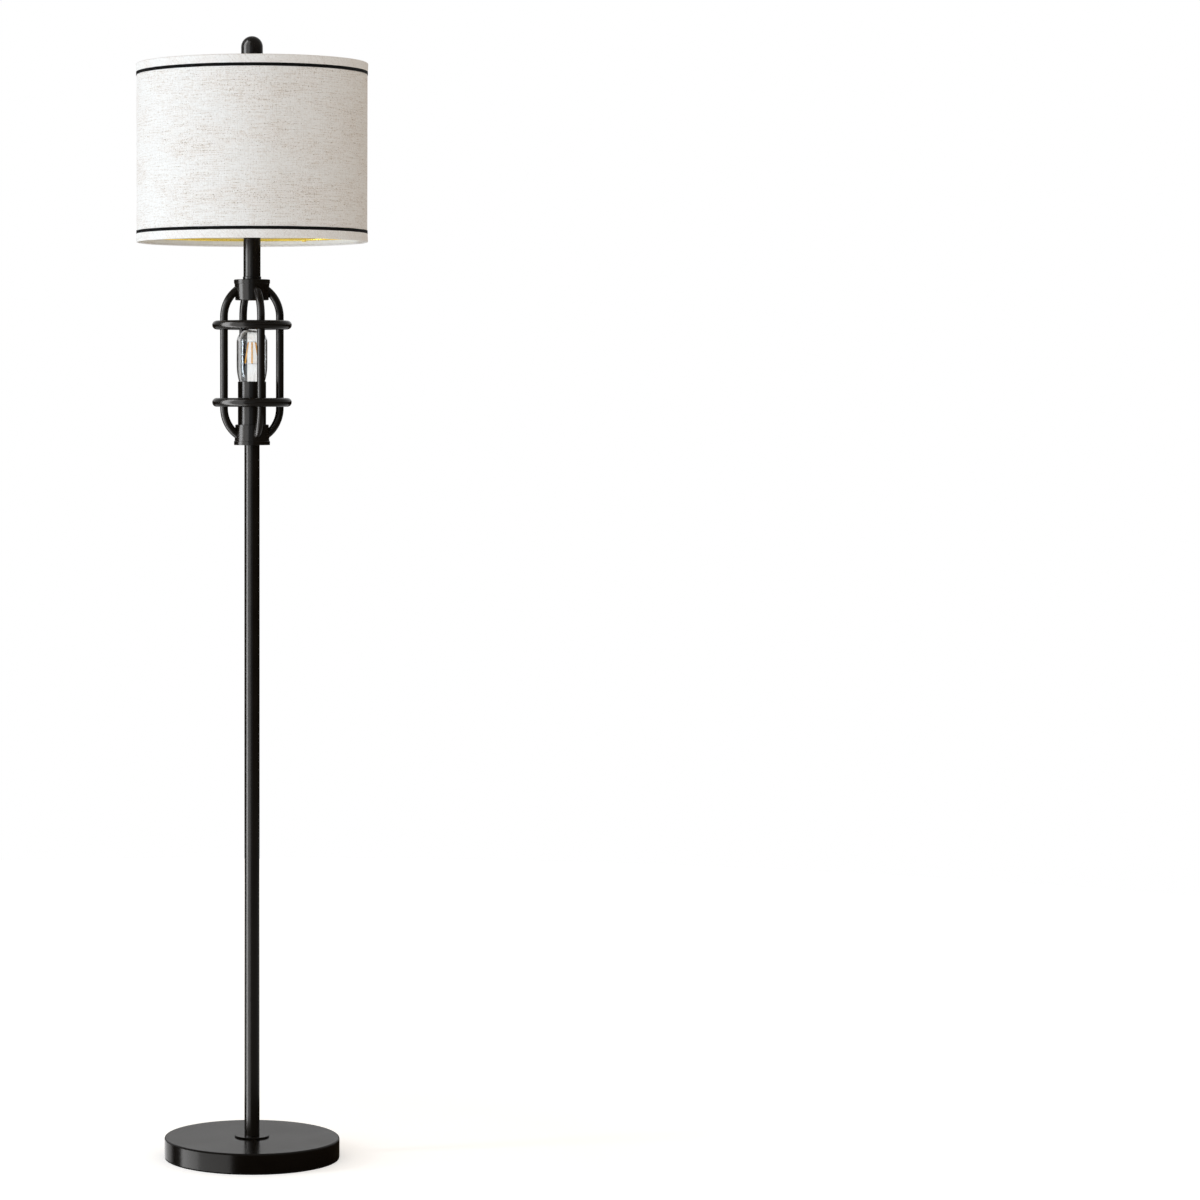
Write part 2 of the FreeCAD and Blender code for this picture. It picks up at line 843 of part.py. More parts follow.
def finial_insert():
    """Plate pressed into the cap, with the threaded boss for the post."""
    plate_r = finial_d / 2 - finial_wall - fit_gap
    plate = rod(plate_r, hub_top, hub_top + finial_plate_t)
    boss = rod(finial_boss_r, hub_top, hub_top + finial_boss_h)
    bore = rod(harp_stud_d / 2 + loose_gap, hub_top, hub_top + finial_boss_h)
    return plate.fuse(boss).cut(bore).removeSplitter()


def base_and_column():
    pad_r = base_r - base_pad_inset
    pole_end_inserts = [
        insert(pole_inner_r, pole_foot, pole_foot + insert_t),
        insert(pole_inner_r, cage_foot - insert_t, cage_foot),
    ]
    return {
        "base_cover": base_cover(),
        "base_weight": base_weight(),
        "base_pad": rod(pad_r, 0, base_pad_t),
        "base_washer": tube(
            base_washer_d / 2, pipe_hole_r, weight_bottom - base_washer_t, weight_bottom
        ),
        "base_collar": turned_ring(
            base_collar_d / 2, pipe_hole_r, base_h, pole_foot, top_round=base_collar_edge_r
        ),
        "base_pipe": pipe(base_nut_bottom - pipe_past_nut, pole_foot + insert_t),
        "cord_inlet_bush": inlet_bush(),
        "pole_end_inserts": Part.makeCompound(pole_end_inserts),
        "lower_pole": tube(pole_r, pole_inner_r, pole_foot, pole_joint),
        "pole_joint_socket": insert(pole_inner_r, pole_joint - joint_socket_t, pole_joint),
        "pole_joint_stud": pole_joint_stud(),
        "upper_pole": tube(pole_r, pole_inner_r, pole_joint, cage_foot),
    }


def cage():
    wire_path = around(rib_bar(wire_way_d / 2), rib_angle(wire_rib))
    sleeve_foot = cage_foot + flange_t + flange_spigot_h
    sleeve = tube(sleeve_r, sleeve_r - sleeve_wall, sleeve_foot, sleeve_top)
    blank = rib_blank()
    nodes = {
        "lower_cup_flange": cup_flange(),
        "lower_cup": cup_body(sleeve_r + fit_gap).cut(wire_path),
        "upper_cup": flipped(cup_body(0)).cut(wire_path),
        "upper_cup_flange": flipped(cup_flange()),
        "cage_sleeve": sleeve.cut(wire_path),
        "cage_ring_lower": cage_ring(ring_lower_h),
        "cage_ring_upper": cage_ring(ring_upper_h),
        "cage_pipe": pipe(cage_foot - insert_t, cage_socket_foot + pipe_in_socket),
        "cage_socket_body": socket_body(cage_socket_foot, cage_socket_floor),
    }
    for k in range(rib_count):
        nodes["cage_rib_" + str(k + 1)] = around(blank, rib_angle(k))
    return nodes


def neck_and_upper_light():
    plug_r = neck_inner_r - fit_gap
    upper_nut = cage_top - flange_t - nut_t
    neck_cap = turned_ring(
        neck_cap_d / 2, pipe_hole_r, neck_top, saddle_foot, top_round=neck_cap_edge_r
    ).fuse(tube(plug_r, pipe_hole_r, neck_top - neck_cap_spigot, neck_top))
    nuts = [hex_nut(base_nut_bottom), hex_nut(cage_foot + flange_t), hex_nut(upper_nut)]
    holders = ((cage_socket_foot, cage_socket_floor), (main_socket_foot, main_socket_floor))
    return {
        "neck_collar": turned_ring(
            neck_collar_d / 2,
            neck_r + fit_gap,
            cage_top,
            cage_top + neck_collar_h,
            neck_collar_edge_r,
            neck_collar_edge_r,
        ),
        "neck_tube": tube(neck_r, neck_inner_r, cage_top, neck_top),
        "neck_foot_insert": insert(neck_inner_r, cage_top, cage_top + insert_t),
        "neck_cap": neck_cap.removeSplitter(),
        "neck_pipe": pipe(upper_nut - pipe_past_nut, cage_top + insert_t),
        "main_pipe": pipe(neck_top - neck_cap_spigot, main_socket_foot + pipe_in_socket),
        "pipe_nuts": Part.makeCompound(nuts),
        "harp_saddle": harp_saddle(),
        "main_socket_body": main_socket_body(),
        "socket_shells": Part.makeCompound([socket_shell(*place) for place in holders]),
        "socket_contacts": Part.makeCompound([socket_contact(*place) for place in holders]),
        "switch_spindle": switch_spindle(),
        "switch_knob": switch_knob(),
    }


def bulbs():
    return {
        "cage_bulb_glass": cage_bulb_glass(),
        "cage_bulb_cap": screw_cap(cage_bulb_tip),
        "cage_bulb_stem": cage_bulb_stem(),
        "cage_bulb_supports": Part.makeCompound(cage_bulb_supports()),
        "cage_bulb_filaments": Part.makeCompound(filaments()),
        "main_bulb_glass": main_bulb_glass(),
        "main_bulb_cap": screw_cap(main_bulb_tip),
    }


def harp_shade_and_finial():
    low = shade_bottom + hem_fold_t
    high = shade_top - hem_fold_t
    return {
        "harp": harp_bow(harp_wire_r),
        "harp_stud": harp_stud(),
        "harp_sleeve_left": harp_sleeve(-1),
        "harp_sleeve_right": harp_sleeve(1),
        "shade_fabric": tube(shade_r, fabric_inner_r, low, high),
        "shade_liner": tube(fabric_inner_r, liner_inner_r, low, high),
        "shade_hem_lower": hem(shade_bottom, 1),
        "shade_hem_upper": hem(shade_top, -1),
        "shade_trims": Part.makeCompound(trims()),
        "shade_ring_lower": shade_wire(shade_bottom + shade_wire_inset),
        "shade_ring_clip": ring_clip(),
        "shade_spider": shade_spider(),
        "finial_cap": finial_solid(0, finial_foot_r).cut(finial_solid(finial_wall, 0)),
        "finial_insert": finial_insert(),
    }


def main():
    nodes = {}
    for group in (base_and_column, cage, neck_and_upper_light, bulbs, harp_shade_and_finial):
        nodes.update(group())
    os.makedirs("parts", exist_ok=True)
    for name, shape in nodes.items():
        shape.exportStep("parts/" + name + ".step")


main()
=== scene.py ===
"""Looks of the floor lamp with an open cage and a drum shade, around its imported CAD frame.
Lengths are in metres."""

import json
import math

import bmesh
import bpy
from mathutils import Matrix, Vector, noise

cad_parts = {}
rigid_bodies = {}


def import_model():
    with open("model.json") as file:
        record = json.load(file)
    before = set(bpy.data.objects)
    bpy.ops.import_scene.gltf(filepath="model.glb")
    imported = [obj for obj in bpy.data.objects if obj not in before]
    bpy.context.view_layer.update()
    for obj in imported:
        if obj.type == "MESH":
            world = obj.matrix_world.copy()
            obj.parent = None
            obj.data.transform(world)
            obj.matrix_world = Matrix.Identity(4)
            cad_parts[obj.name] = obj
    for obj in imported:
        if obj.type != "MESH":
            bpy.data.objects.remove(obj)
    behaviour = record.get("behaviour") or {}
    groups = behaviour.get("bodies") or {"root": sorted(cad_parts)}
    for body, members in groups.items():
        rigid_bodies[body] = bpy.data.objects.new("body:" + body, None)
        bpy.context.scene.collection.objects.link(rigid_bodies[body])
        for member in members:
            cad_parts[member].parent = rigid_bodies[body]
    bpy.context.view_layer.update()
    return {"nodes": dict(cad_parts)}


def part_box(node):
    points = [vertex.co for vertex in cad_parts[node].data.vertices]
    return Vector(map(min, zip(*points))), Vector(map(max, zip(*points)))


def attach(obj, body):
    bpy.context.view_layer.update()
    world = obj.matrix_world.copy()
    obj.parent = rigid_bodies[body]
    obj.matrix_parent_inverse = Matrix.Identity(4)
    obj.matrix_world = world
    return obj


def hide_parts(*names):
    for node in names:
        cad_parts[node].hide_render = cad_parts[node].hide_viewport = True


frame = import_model()
nodes = frame["nodes"]

TURN = 2 * math.pi

# Camera, fitted to the photograph's ellipses and to the taper of the column
PICTURE_PIXELS = 1200
FOCAL_PIXELS = 3750
SENSOR_MM = 36.0
EYE_DISTANCE = 5.391  # from the lamp's axis, along the floor
EYE_HEIGHT = 1.1057
EYE_ANGLE = math.radians(-62.7)  # round the lamp's axis
EYE_PITCH = math.radians(-3.144)
AXIS_PIXEL = 252  # column of the picture where the lamp's axis stands
VIEW_END = 100.0

# Softboxes: degrees from the eye round the lamp, distance, height, (width, height) and watts.
# The first two light all but the base's top and side. The others stand close, and only the gloss
# of the black paint shows them: the tall ones down to the foot of the column, the low ones, below
# the floor, in the side of the base.
SOFTBOXES = {
    "key_softbox": (-76, 3.2, 1.12, (0.40, 2.2), 50.4),
    "fill_softbox": (-22, 3.2, 1.12, (3.2, 2.1), 35.8),
}
GLOSS_SOFTBOXES = {
    "key_reflection": (-77.5, 0.4, 0.8, (0.205, 2.8), 66.0),
    "fill_reflection": (-43, 0.4, 0.8, (0.285, 2.8), 25.0),
}
BASE_SOFTBOXES = {
    "base_key_reflection": (-77.5, 0.4, -0.25, (0.205, 0.5), 4.5),
    "base_fill_reflection": (-43, 0.4, -0.25, (0.285, 0.5), 3.4),
    "base_rim_reflection": (-150, 0.45, -0.25, (0.55, 0.5), 1.3),
}
BASE_PIECES = ("base_cover_shell", "base_collar_disc")
SOFTBOX_COLOUR = (0.77, 0.885, 1.0)
AMBIENT = 0.604  # strength of the world for diffuse light
AMBIENT_COLOUR = (1.0, 0.906, 0.80)

# Stage. The cards are (radius, height) outlines, turned about the lamp's axis.
CARD_OUTLINES = {
    "dark_cards": [(3.5, 0.0), (9.0, 1.35), (16.0, 2.68)],  # a slope up from the floor's edge
    "low_card": [(0.5, -0.35), (0.5, -0.005)],
}
FLOOR_RADII = (0.001, 0.5, 2.0, 3.5)
FLOOR_LIFT = (0.42, 0.9)  # white added to the floor that is seen, near the lamp and far from it
FLOOR_FADE = (0.5, 3.0)  # distances between which the lift changes

# Finishes
GLASS_RIPPLE = 0.00004
THREAD_PITCH = 0.0006
RIB_PITCH = 0.0007  # of the ribbon


# Node trees

def new_node(tree, kind, sockets=(), **settings):
    """Adds a shader node. sockets holds values, or outputs of other nodes, by input name or
    number."""
    node = tree.nodes.new("ShaderNode" + kind)
    for name, value in settings.items():
        setattr(node, name, value)
    for key, value in dict(sockets).items():
        if isinstance(value, bpy.types.NodeSocket):
            tree.links.new(value, node.inputs[key])
        else:
            node.inputs[key].default_value = value
    return node


def seen_ray(tree):
    """1 for rays from the camera, from a mirror and through glass, otherwise 0."""
    path = new_node(tree, "LightPath").outputs
    total = path["Is Camera Ray"]
    for name in ("Is Glossy Ray", "Is Transmission Ray"):
        sockets = {0: total, 1: path[name]}
        total = new_node(tree, "Math", sockets, operation="ADD", use_clamp=True).outputs[0]
    return total


def rgb(red, green, blue):
    return (red, green, blue, 1.0)


class Finish:
    """A material in the making: its node tree, its shader and its coordinates."""

    def __init__(self, name, coordinates="Object", **constants):
        self.material = bpy.data.materials.new(name)
        self.material.use_nodes = True
        self.tree = self.material.node_tree
        self.shader = self.tree.nodes["Principled BSDF"]
        self.place = new_node(self.tree, "TexCoord").outputs[coordinates]
        for socket, value in constants.items():
            title = socket.replace("_", " ").title().replace("Ior", "IOR")
            self.shader.inputs[title].default_value = value

    def add(self, kind, sockets=(), **settings):
        """Adds a node to this material."""
        return new_node(self.tree, kind, sockets, **settings)

    def stretched(self, scale, turn=0.0):
        """The coordinates scaled by a different factor along each axis."""
        sockets = {"Vector": self.place, "Scale": scale, "Rotation": (0, 0, turn)}
        return self.add("Mapping", sockets).outputs["Vector"]

    def noise(self, scale, detail=2.0, place=None, roughness=0.5):
        """Patches about 1 / scale wide."""
        sockets = {
            "Vector": place or self.place,
            "Scale": scale,
            "Detail": detail,
            "Roughness": roughness,
        }
        return self.add("TexNoise", sockets).outputs["Fac"]

    def streaks(self, girth_scale, height_scale, detail=3.0, roughness=0.6):
        """Noise with a scale of its own along the girth and along the height of a cloth."""
        place = self.stretched((girth_scale, height_scale, 1))
        return self.noise(1.0, detail, place, roughness)

    def bands(self, pitch, direction, distortion):
        """Stripes, pitch metres apart. A wave texture counts 20 radians to the metre."""
        sockets = {
            "Vector": self.place,
            "Scale": TURN / 20 / pitch,
            "Distortion": distortion,
            "Detail": 1.0,
        }
        wave = self.add("TexWave", sockets, wave_type="BANDS", bands_direction=direction)
        return wave.outputs["Fac"]

    def math(self, operation, *values):
        return self.add("Math", dict(enumerate(values)), operation=operation).outputs[0]

    def fit(self, value, low, high, new_low=0.0, new_high=1.0):
        """Maps a range of values to another, without going past its ends."""
        sockets = {0: value, 1: low, 2: high, 3: new_low, 4: new_high}
        return self.add("MapRange", sockets, clamp=True).outputs[0]

    def mix(self, share, first, second):
        """Mixes two colours."""
        return self.add("Mix", {0: share, 6: first, 7: second}, data_type="RGBA").outputs[2]

    def bump(self, height, distance):
        return self.add("Bump", {"Height": height, "Distance": distance}).outputs["Normal"]

    def feed(self, socket, value):
        """Leads a node's output to the shader."""
        self.tree.links.new(value, self.shader.inputs[socket])

    def surface(self, kind, *sockets):
        """Ends the tree in a mix or a sum of shaders, in the place of the shader alone."""
        both = self.add(kind, dict(enumerate(sockets)))
        output = self.tree.nodes["Material Output"]
        self.tree.links.new(both.outputs[0], output.inputs["Surface"])


# Hard finishes

HARD_FINISHES = {
    "black_paint": dict(
        name="black_satin_paint",
        dark=rgb(0.0042, 0.0031, 0.0021),
        light=rgb(0.0060, 0.0045, 0.0031),
        rough=(0.17, 0.23),
        grain_scale=1500.0,
        grain_height=0.000003,
        specular_ior_level=0.07,
    ),
    "gold_wire": dict(
        name="gold_plated_wire",
        dark=rgb(0.86, 0.60, 0.10),
        light=rgb(0.95, 0.72, 0.16),
        rough=(0.20, 0.32),
        grain_scale=700.0,
        grain_height=0.000008,
        metallic=1.0,
    ),
    "plated_steel": dict(
        name="zinc_plated_steel",
        dark=rgb(0.50, 0.50, 0.47),
        light=rgb(0.64, 0.64, 0.61),
        rough=(0.28, 0.45),
        grain_scale=900.0,
        grain_height=0.00001,
        metallic=1.0,
    ),
    "contact_brass": dict(
        name="brass_contacts",
        dark=rgb(0.70, 0.50, 0.22),
        light=rgb(0.82, 0.61, 0.30),
        rough=(0.25, 0.40),
        grain_scale=800.0,
        grain_height=0.00001,
        metallic=1.0,
    ),
    "cap_metal": dict(
        name="nickel_plated_cap",
        dark=rgb(0.60, 0.59, 0.57),
        light=rgb(0.74, 0.73, 0.71),
        rough=(0.18, 0.32),
        grain_scale=900.0,
        grain_height=0.000008,
        metallic=1.0,
    ),
    "cap_insulator": dict(
        name="black_cap_glass",
        dark=rgb(0.006, 0.006, 0.008),
        light=rgb(0.012, 0.012, 0.014),
        rough=(0.08, 0.16),
        grain_scale=400.0,
        grain_height=0.00001,
    ),
    "black_moulding": dict(
        name="moulded_lampholder",
        dark=rgb(0.010, 0.009, 0.008),
        light=rgb(0.018, 0.016, 0.014),
        rough=(0.30, 0.42),
        grain_scale=1100.0,
        grain_height=0.00001,
    ),
    "black_knob": dict(
        name="moulded_knob",
        dark=rgb(0.009, 0.009, 0.009),
        light=rgb(0.015, 0.015, 0.015),
        rough=(0.34, 0.48),
        grain_scale=1300.0,
        grain_height=0.000014,
    ),
    "cast_weight": dict(
        name="cast_weight",
        dark=rgb(0.10, 0.095, 0.09),
        light=rgb(0.19, 0.18, 0.17),
        rough=(0.65, 0.9),
        grain_scale=420.0,
        grain_height=0.00025,
    ),
}


def hard_finish(name, dark, light, rough, grain_scale, grain_height, **constants):
    """Metal, paint or moulding: slow colour drift, roughness patches and a fine surface grain."""
    finish = Finish(name, **constants)
    patches = finish.noise(18.0, 3.0)
    grain = finish.noise(grain_scale, 2.0)
    finish.feed("Base Color", finish.mix(finish.fit(patches, 0.3, 0.7), dark, light))
    patchy = finish.math("MULTIPLY", patches, 0.7)
    grainy = finish.math("MULTIPLY", grain, 0.3)
    finish.feed("Roughness", finish.fit(finish.math("ADD", patchy, grainy), 0.25, 0.75, *rough))
    finish.feed("Normal", finish.bump(grain, grain_height))
    return finish.material


# Glass and filaments

def glass(name, tint, rim, index, **coat):
    """Blown glass with faint ripples. Towards grazing angles its colour turns from tint to rim:
    painted shade at its edges, in the place of the dark reflections there. Rays from lamps pass
    through, so that they reach what is inside. A coat gives the highlights: where it is slightly
    rough, they come out with less noise."""
    dull = rgb(0.05, 0.05, 0.05)
    finish = Finish(name, transmission_weight=1.0, ior=index, specular_tint=dull, **coat)
    # Painted shade: the colour darkens from tint to rim where the surface turns away from view.
    edge = finish.add("LayerWeight", {"Blend": 0.4}).outputs["Facing"]
    finish.feed("Base Color", finish.mix(finish.fit(edge, 0.15, 0.75), tint, rim))
    film = finish.noise(35.0, 3.0)
    finish.feed("Roughness", finish.fit(film, 0.35, 0.75, 0.0, 0.02))
    finish.feed("Normal", finish.bump(finish.noise(70.0, 1.0), GLASS_RIPPLE))
    shadow_ray = finish.add("LightPath").outputs["Is Shadow Ray"]
    clear = finish.add("BsdfTransparent", {"Color": tint})
    finish.surface("MixShader", shadow_ray, finish.shader.outputs[0], clear.outputs[0])
    return finish.material


def frosted_glass():
    finish = Finish(
        "frosted_glass",
        transmission_weight=0.35,
        ior=1.47,
        subsurface_weight=0.3,
        subsurface_radius=(0.004, 0.004, 0.004),
        subsurface_scale=1.0,
    )
    frost = finish.noise(1800.0, 3.0)
    finish.feed("Base Color", finish.mix(frost, rgb(0.84, 0.84, 0.82), rgb(0.92, 0.92, 0.90)))
    finish.feed("Roughness", finish.fit(frost, 0.2, 0.8, 0.30, 0.45))
    finish.feed("Normal", finish.bump(frost, 0.00001))
    return finish.material


def phosphor():
    """Amber silicone with its powder, on the filament sticks."""
    finish = Finish("amber_phosphor", specular_ior_level=0.3)
    grit = finish.noise(4200.0, 3.0)
    finish.feed("Base Color", finish.mix(grit, rgb(0.74, 0.29, 0.0005), rgb(0.95, 0.42, 0.002)))
    finish.feed("Roughness", finish.fit(grit, 0.2, 0.8, 0.35, 0.55))
    finish.feed("Normal", finish.bump(grit, 0.00003))
    return finish.material


# Cloth

def felt():
    """Thin felt under the base."""
    finish = Finish("felt_pad", specular_ior_level=0.1)
    fibres = finish.noise(2600.0, 4.0)
    colour = finish.mix(fibres, rgb(0.004, 0.004, 0.004), rgb(0.014, 0.013, 0.012))
    finish.feed("Base Color", colour)
    finish.feed("Roughness", finish.fit(fibres, 0.2, 0.8, 0.85, 1.0))
    finish.feed("Normal", finish.bump(fibres, 0.0002))
    return finish.material


def linen(name, turn=0.0, marks=1.0):
    """Plain weave of off-white yarn. Thick and brown places run along single threads, mostly of
    the weft, with small dark flecks strung along them. marks is their strength."""
    finish = Finish(name, "UV", specular_ior_level=0.05)
    finish.place = finish.stretched((1, 1, 1), turn)
    warp = finish.bands(THREAD_PITCH, "X", 2.0)
    weft = finish.bands(THREAD_PITCH, "Y", 2.0)
    weave = finish.math("ADD", warp, weft)
    long_weft = finish.streaks(26, 720)
    short_weft = finish.streaks(110, 820)
    long_warp = finish.streaks(720, 30)
    short_warp = finish.streaks(820, 130, detail=2.0)
    fleck = finish.streaks(430, 800, roughness=0.65)
    drift = finish.streaks(11, 26)
    mottle = finish.noise(380.0, 3.0, roughness=0.6)

    crowd = finish.math("MULTIPLY", finish.math("SUBTRACT", drift, 0.5), 0.15)
    thick = finish.math("MULTIPLY", finish.math("SUBTRACT", long_weft, 0.5), 0.35)
    lean = finish.math("ADD", crowd, thick)
    brown_weft = finish.math("ADD", short_weft, lean)
    brown_warp = finish.math("ADD", short_warp, lean)
    dark_fleck = finish.math("ADD", fleck, lean)
    layers = [  # a pattern, the range of it that counts, the share it gives at both ends, a colour
        (long_weft, 0.48, 0.72, 0.0, 0.36 * marks, rgb(0.78, 0.74, 0.70)),
        (long_warp, 0.46, 0.70, 0.0, 0.45 * marks, rgb(0.76, 0.74, 0.71)),
        (drift, 0.42, 0.66, 0.0, 0.25, rgb(0.90, 0.83, 0.78)),
        (weave, 0.1, 0.9, 0.12 * marks, 0.0, rgb(0.60, 0.56, 0.52)),
        (brown_weft, 0.54, 0.68, 0.0, 0.58 * marks, rgb(0.60, 0.51, 0.42)),
        (brown_warp, 0.57, 0.70, 0.0, 0.60 * marks, rgb(0.60, 0.53, 0.46)),
        (dark_fleck, 0.60, 0.70, 0.0, 0.95 * marks, rgb(0.22, 0.155, 0.10)),
    ]
    pale = finish.fit(mottle, 0.3, 0.7)
    yarn = finish.mix(pale, rgb(0.98, 0.975, 0.965), rgb(0.84, 0.83, 0.81))
    for pattern, low, high, first, last, colour in layers:
        yarn = finish.mix(finish.fit(pattern, low, high, first, last), yarn, colour)
    finish.feed("Base Color", yarn)
    finish.feed("Roughness", finish.fit(weave, 0.0, 2.0, 0.95, 0.8))
    slubs = finish.math("MULTIPLY", finish.math("ADD", long_weft, long_warp), 4.0)
    finish.feed("Normal", finish.bump(finish.math("ADD", weave, slubs), 0.0001))
    return finish.material


def lining():
    """Smooth backed cloth with a fine upright thread."""
    finish = Finish("shade_lining", "UV", specular_ior_level=0.1)
    upright = finish.streaks(1300, 25, detail=2.0, roughness=0.5)
    level = finish.streaks(30, 1300, detail=1.0, roughness=0.5)
    share = finish.fit(upright, 0.35, 0.65)
    colour = finish.mix(share, rgb(0.97, 0.97, 0.96), rgb(0.88, 0.88, 0.87))
    colour = finish.mix(finish.fit(level, 0.45, 0.7, 0.0, 0.4), colour, rgb(0.84, 0.84, 0.83))
    finish.feed("Base Color", colour)
    finish.feed("Roughness", finish.fit(upright, 0.3, 0.7, 0.6, 0.8))
    finish.feed("Normal", finish.bump(upright, 0.00006))
    return finish.material


def ribbon():
    """Black grosgrain: upright ribs and a slight sheen."""
    finish = Finish("black_ribbon", "UV", specular_ior_level=0.08)
    ribs = finish.bands(RIB_PITCH, "X", 0.3)
    lint = finish.noise(900.0, 2.0)
    colour = finish.mix(lint, rgb(0.0005, 0.0005, 0.0005), rgb(0.0030, 0.0028, 0.0026))
    finish.feed("Base Color", colour)
    finish.feed("Roughness", finish.fit(lint, 0.3, 0.7, 0.6, 0.8))
    finish.feed("Normal", finish.bump(ribs, 0.00012))
    return finish.material


# Meshes

SHARP_ANGLE = math.radians(50)
WELD_DISTANCE = 1e-7


def lathe_mesh(name, outline, segments, shift=None, closed=True):
    """Turns an outline of (radius, height) points about the vertical axis.
    shift(angle, radius, height) gives a point's moved radius and height."""
    rows = len(outline)
    points = []
    for k in range(segments):
        angle = TURN * k / segments
        for radius, height in outline:
            if shift:
                radius, height = shift(angle, radius, height)
            points.append((radius * math.cos(angle), radius * math.sin(angle), height))
    faces = []
    for k in range(segments):
        near = k * rows
        far = (k + 1) % segments * rows
        for i in range(rows if closed else rows - 1):
            j = (i + 1) % rows
            faces.append((near + i, far + i, far + j, near + j))
    mesh = bpy.data.meshes.new(name)
    mesh.from_pydata(points, [], faces)
    add_cloth_map(mesh, outline, segments, closed)
    if min(radius for radius, height in outline) == 0:
        weld(mesh)
    mesh.shade_smooth()
    mesh.set_sharp_from_angle(angle=SHARP_ANGLE)
    mesh.update()
    return mesh


def add_cloth_map(mesh, outline, segments, closed):
    """Gives a turned mesh its UV map, in metres along the girth and along the outline."""
    run = [0.0]
    for (r0, z0), (r1, z1) in zip(outline, outline[1:] + outline[:1]):
        run.append(run[-1] + math.hypot(r1 - r0, z1 - z0))
    girth_radius = max(radius for radius, height in outline)
    places = []
    for k in range(segments):
        u0 = TURN * k / segments * girth_radius
        u1 = TURN * (k + 1) / segments * girth_radius
        for i in range(len(outline) if closed else len(outline) - 1):
            places += [(u0, run[i]), (u1, run[i]), (u1, run[i + 1]), (u0, run[i + 1])]
    layer = mesh.uv_layers.new(name="cloth")
    for loop, place in zip(layer.data, places):
        loop.uv = place


def weld(mesh):
    """Joins the points that lie on each other, where an outline meets the axis."""
    shape = bmesh.new()
    shape.from_mesh(mesh)
    bmesh.ops.remove_doubles(shape, verts=shape.verts, dist=WELD_DISTANCE)
    shape.to_mesh(mesh)
    shape.free()


def add_piece(name, mesh, material, body, slot, *replaced):
    """Adds a piece that rides on a body, in the place of the CAD nodes that are named last."""
    piece = bpy.data.objects.new(name, mesh)
    bpy.context.scene.collection.objects.link(piece)
    mesh.materials.append(material)
    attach(piece, body)
    if replaced:
        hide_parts(*replaced)
    return piece


def arc_points(centre, radii, start, end, steps):
    """Points of an elliptic arc in the outline's plane, angles in degrees."""
    points = []
    for angle in spread(math.radians(start), math.radians(end), steps):
        radius = centre[0] + radii[0] * math.cos(angle)
        points.append((radius, centre[1] + radii[1] * math.sin(angle)))
    return points


def spread(start, end, steps):
    """Values at even steps, both ends included."""
    return [start + (end - start) * k / steps for k in range(steps + 1)]


def smooth_step(value, low, high):
    """Rises from 0 to 1 between low and high."""
    t = min(1.0, max(0.0, (value - low) / (high - low)))
    return t * t * (3 - 2 * t)


def uneven(angle, size, level):
    """Smooth noise on a circle. size and level are the circle's radius and height, in waves."""
    return noise.noise(Vector((math.cos(angle) * size, math.sin(angle) * size, level)))


# Turned parts

COVER_WALL = 0.0015
COVER_EDGE = 0.0025  # radius of the rounded edge, here and below
COVER_ROWS = 20  # rows of faces in the wall, so that the cord's hole can be cut
PIPE_HOLE = 0.00505
INLET_HEIGHT = 0.00825
INLET_HOLE = 0.0049
COLLAR_EDGE = 0.0008
FINIAL_WALL = 0.0015
FINIAL_EDGE = 0.001
FINIAL_FOOT = 0.004  # height at which the finial's plain side begins
SUPPORT = 0.0004  # from the end of a rounded edge to a point that keeps the flat beside it flat
EDGE_STEPS = 10


def outer_corner(radius, height, size, up):
    """Rounded outer corner of an outline that runs upwards: its top where up is 1, its foot where
    up is -1."""
    centre = (radius - size, height - up * size)
    side = (radius, height - up * (size + SUPPORT))
    flat = (radius - size - SUPPORT, height)
    if up > 0:
        return [side] + arc_points(centre, (size, size), 0, 90, EDGE_STEPS) + [flat]
    return [flat] + arc_points(centre, (size, size), -90, 0, EDGE_STEPS) + [side]


def cut_inlet(mesh):
    """Opens the round hole in the rear of the cover's wall, for the bush."""
    shape = bmesh.new()
    shape.from_mesh(mesh)
    inside = []
    for face in shape.faces:
        spot = face.calc_center_median()
        if spot.y > 0 and math.hypot(spot.x, spot.z - INLET_HEIGHT) < INLET_HOLE:
            inside.append(face)
    bmesh.ops.delete(shape, geom=inside, context="FACES")
    rim = [edge for edge in shape.edges if edge.is_boundary]
    for vert in {vert for edge in rim for vert in edge.verts}:
        wall = math.hypot(vert.co.x, vert.co.y)
        reach = INLET_HOLE / math.hypot(vert.co.x, vert.co.z - INLET_HEIGHT)
        vert.co.x *= reach
        vert.co.z = INLET_HEIGHT + (vert.co.z - INLET_HEIGHT) * reach
        vert.co.y = math.sqrt(wall**2 - vert.co.x**2)
    bmesh.ops.bridge_loops(shape, edges=rim)
    shape.to_mesh(mesh)
    shape.free()
    mesh.set_sharp_from_angle(angle=SHARP_ANGLE)


def base_cover():
    """The base's pressed shell, open below."""
    low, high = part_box("base_cover")
    radius = high.x
    inner = radius - COVER_WALL
    ceiling = high.z - COVER_WALL
    levels = spread(low.z, high.z - COVER_EDGE - SUPPORT, COVER_ROWS)
    outline = [(PIPE_HOLE, ceiling)]
    outline += reversed(outer_corner(inner, ceiling, COVER_EDGE - COVER_WALL, 1))
    outline += [(inner, z) for z in reversed(levels)]
    outline += [(radius, z) for z in levels[:-1]]
    outline += outer_corner(radius, high.z, COVER_EDGE, 1)
    outline += [(PIPE_HOLE, high.z)]
    mesh = lathe_mesh("base_cover_shell", outline, segments=360)
    cut_inlet(mesh)
    paint = materials["black_paint"]
    add_piece("base_cover_shell", mesh, paint, "stand", "black_paint", "base_cover")


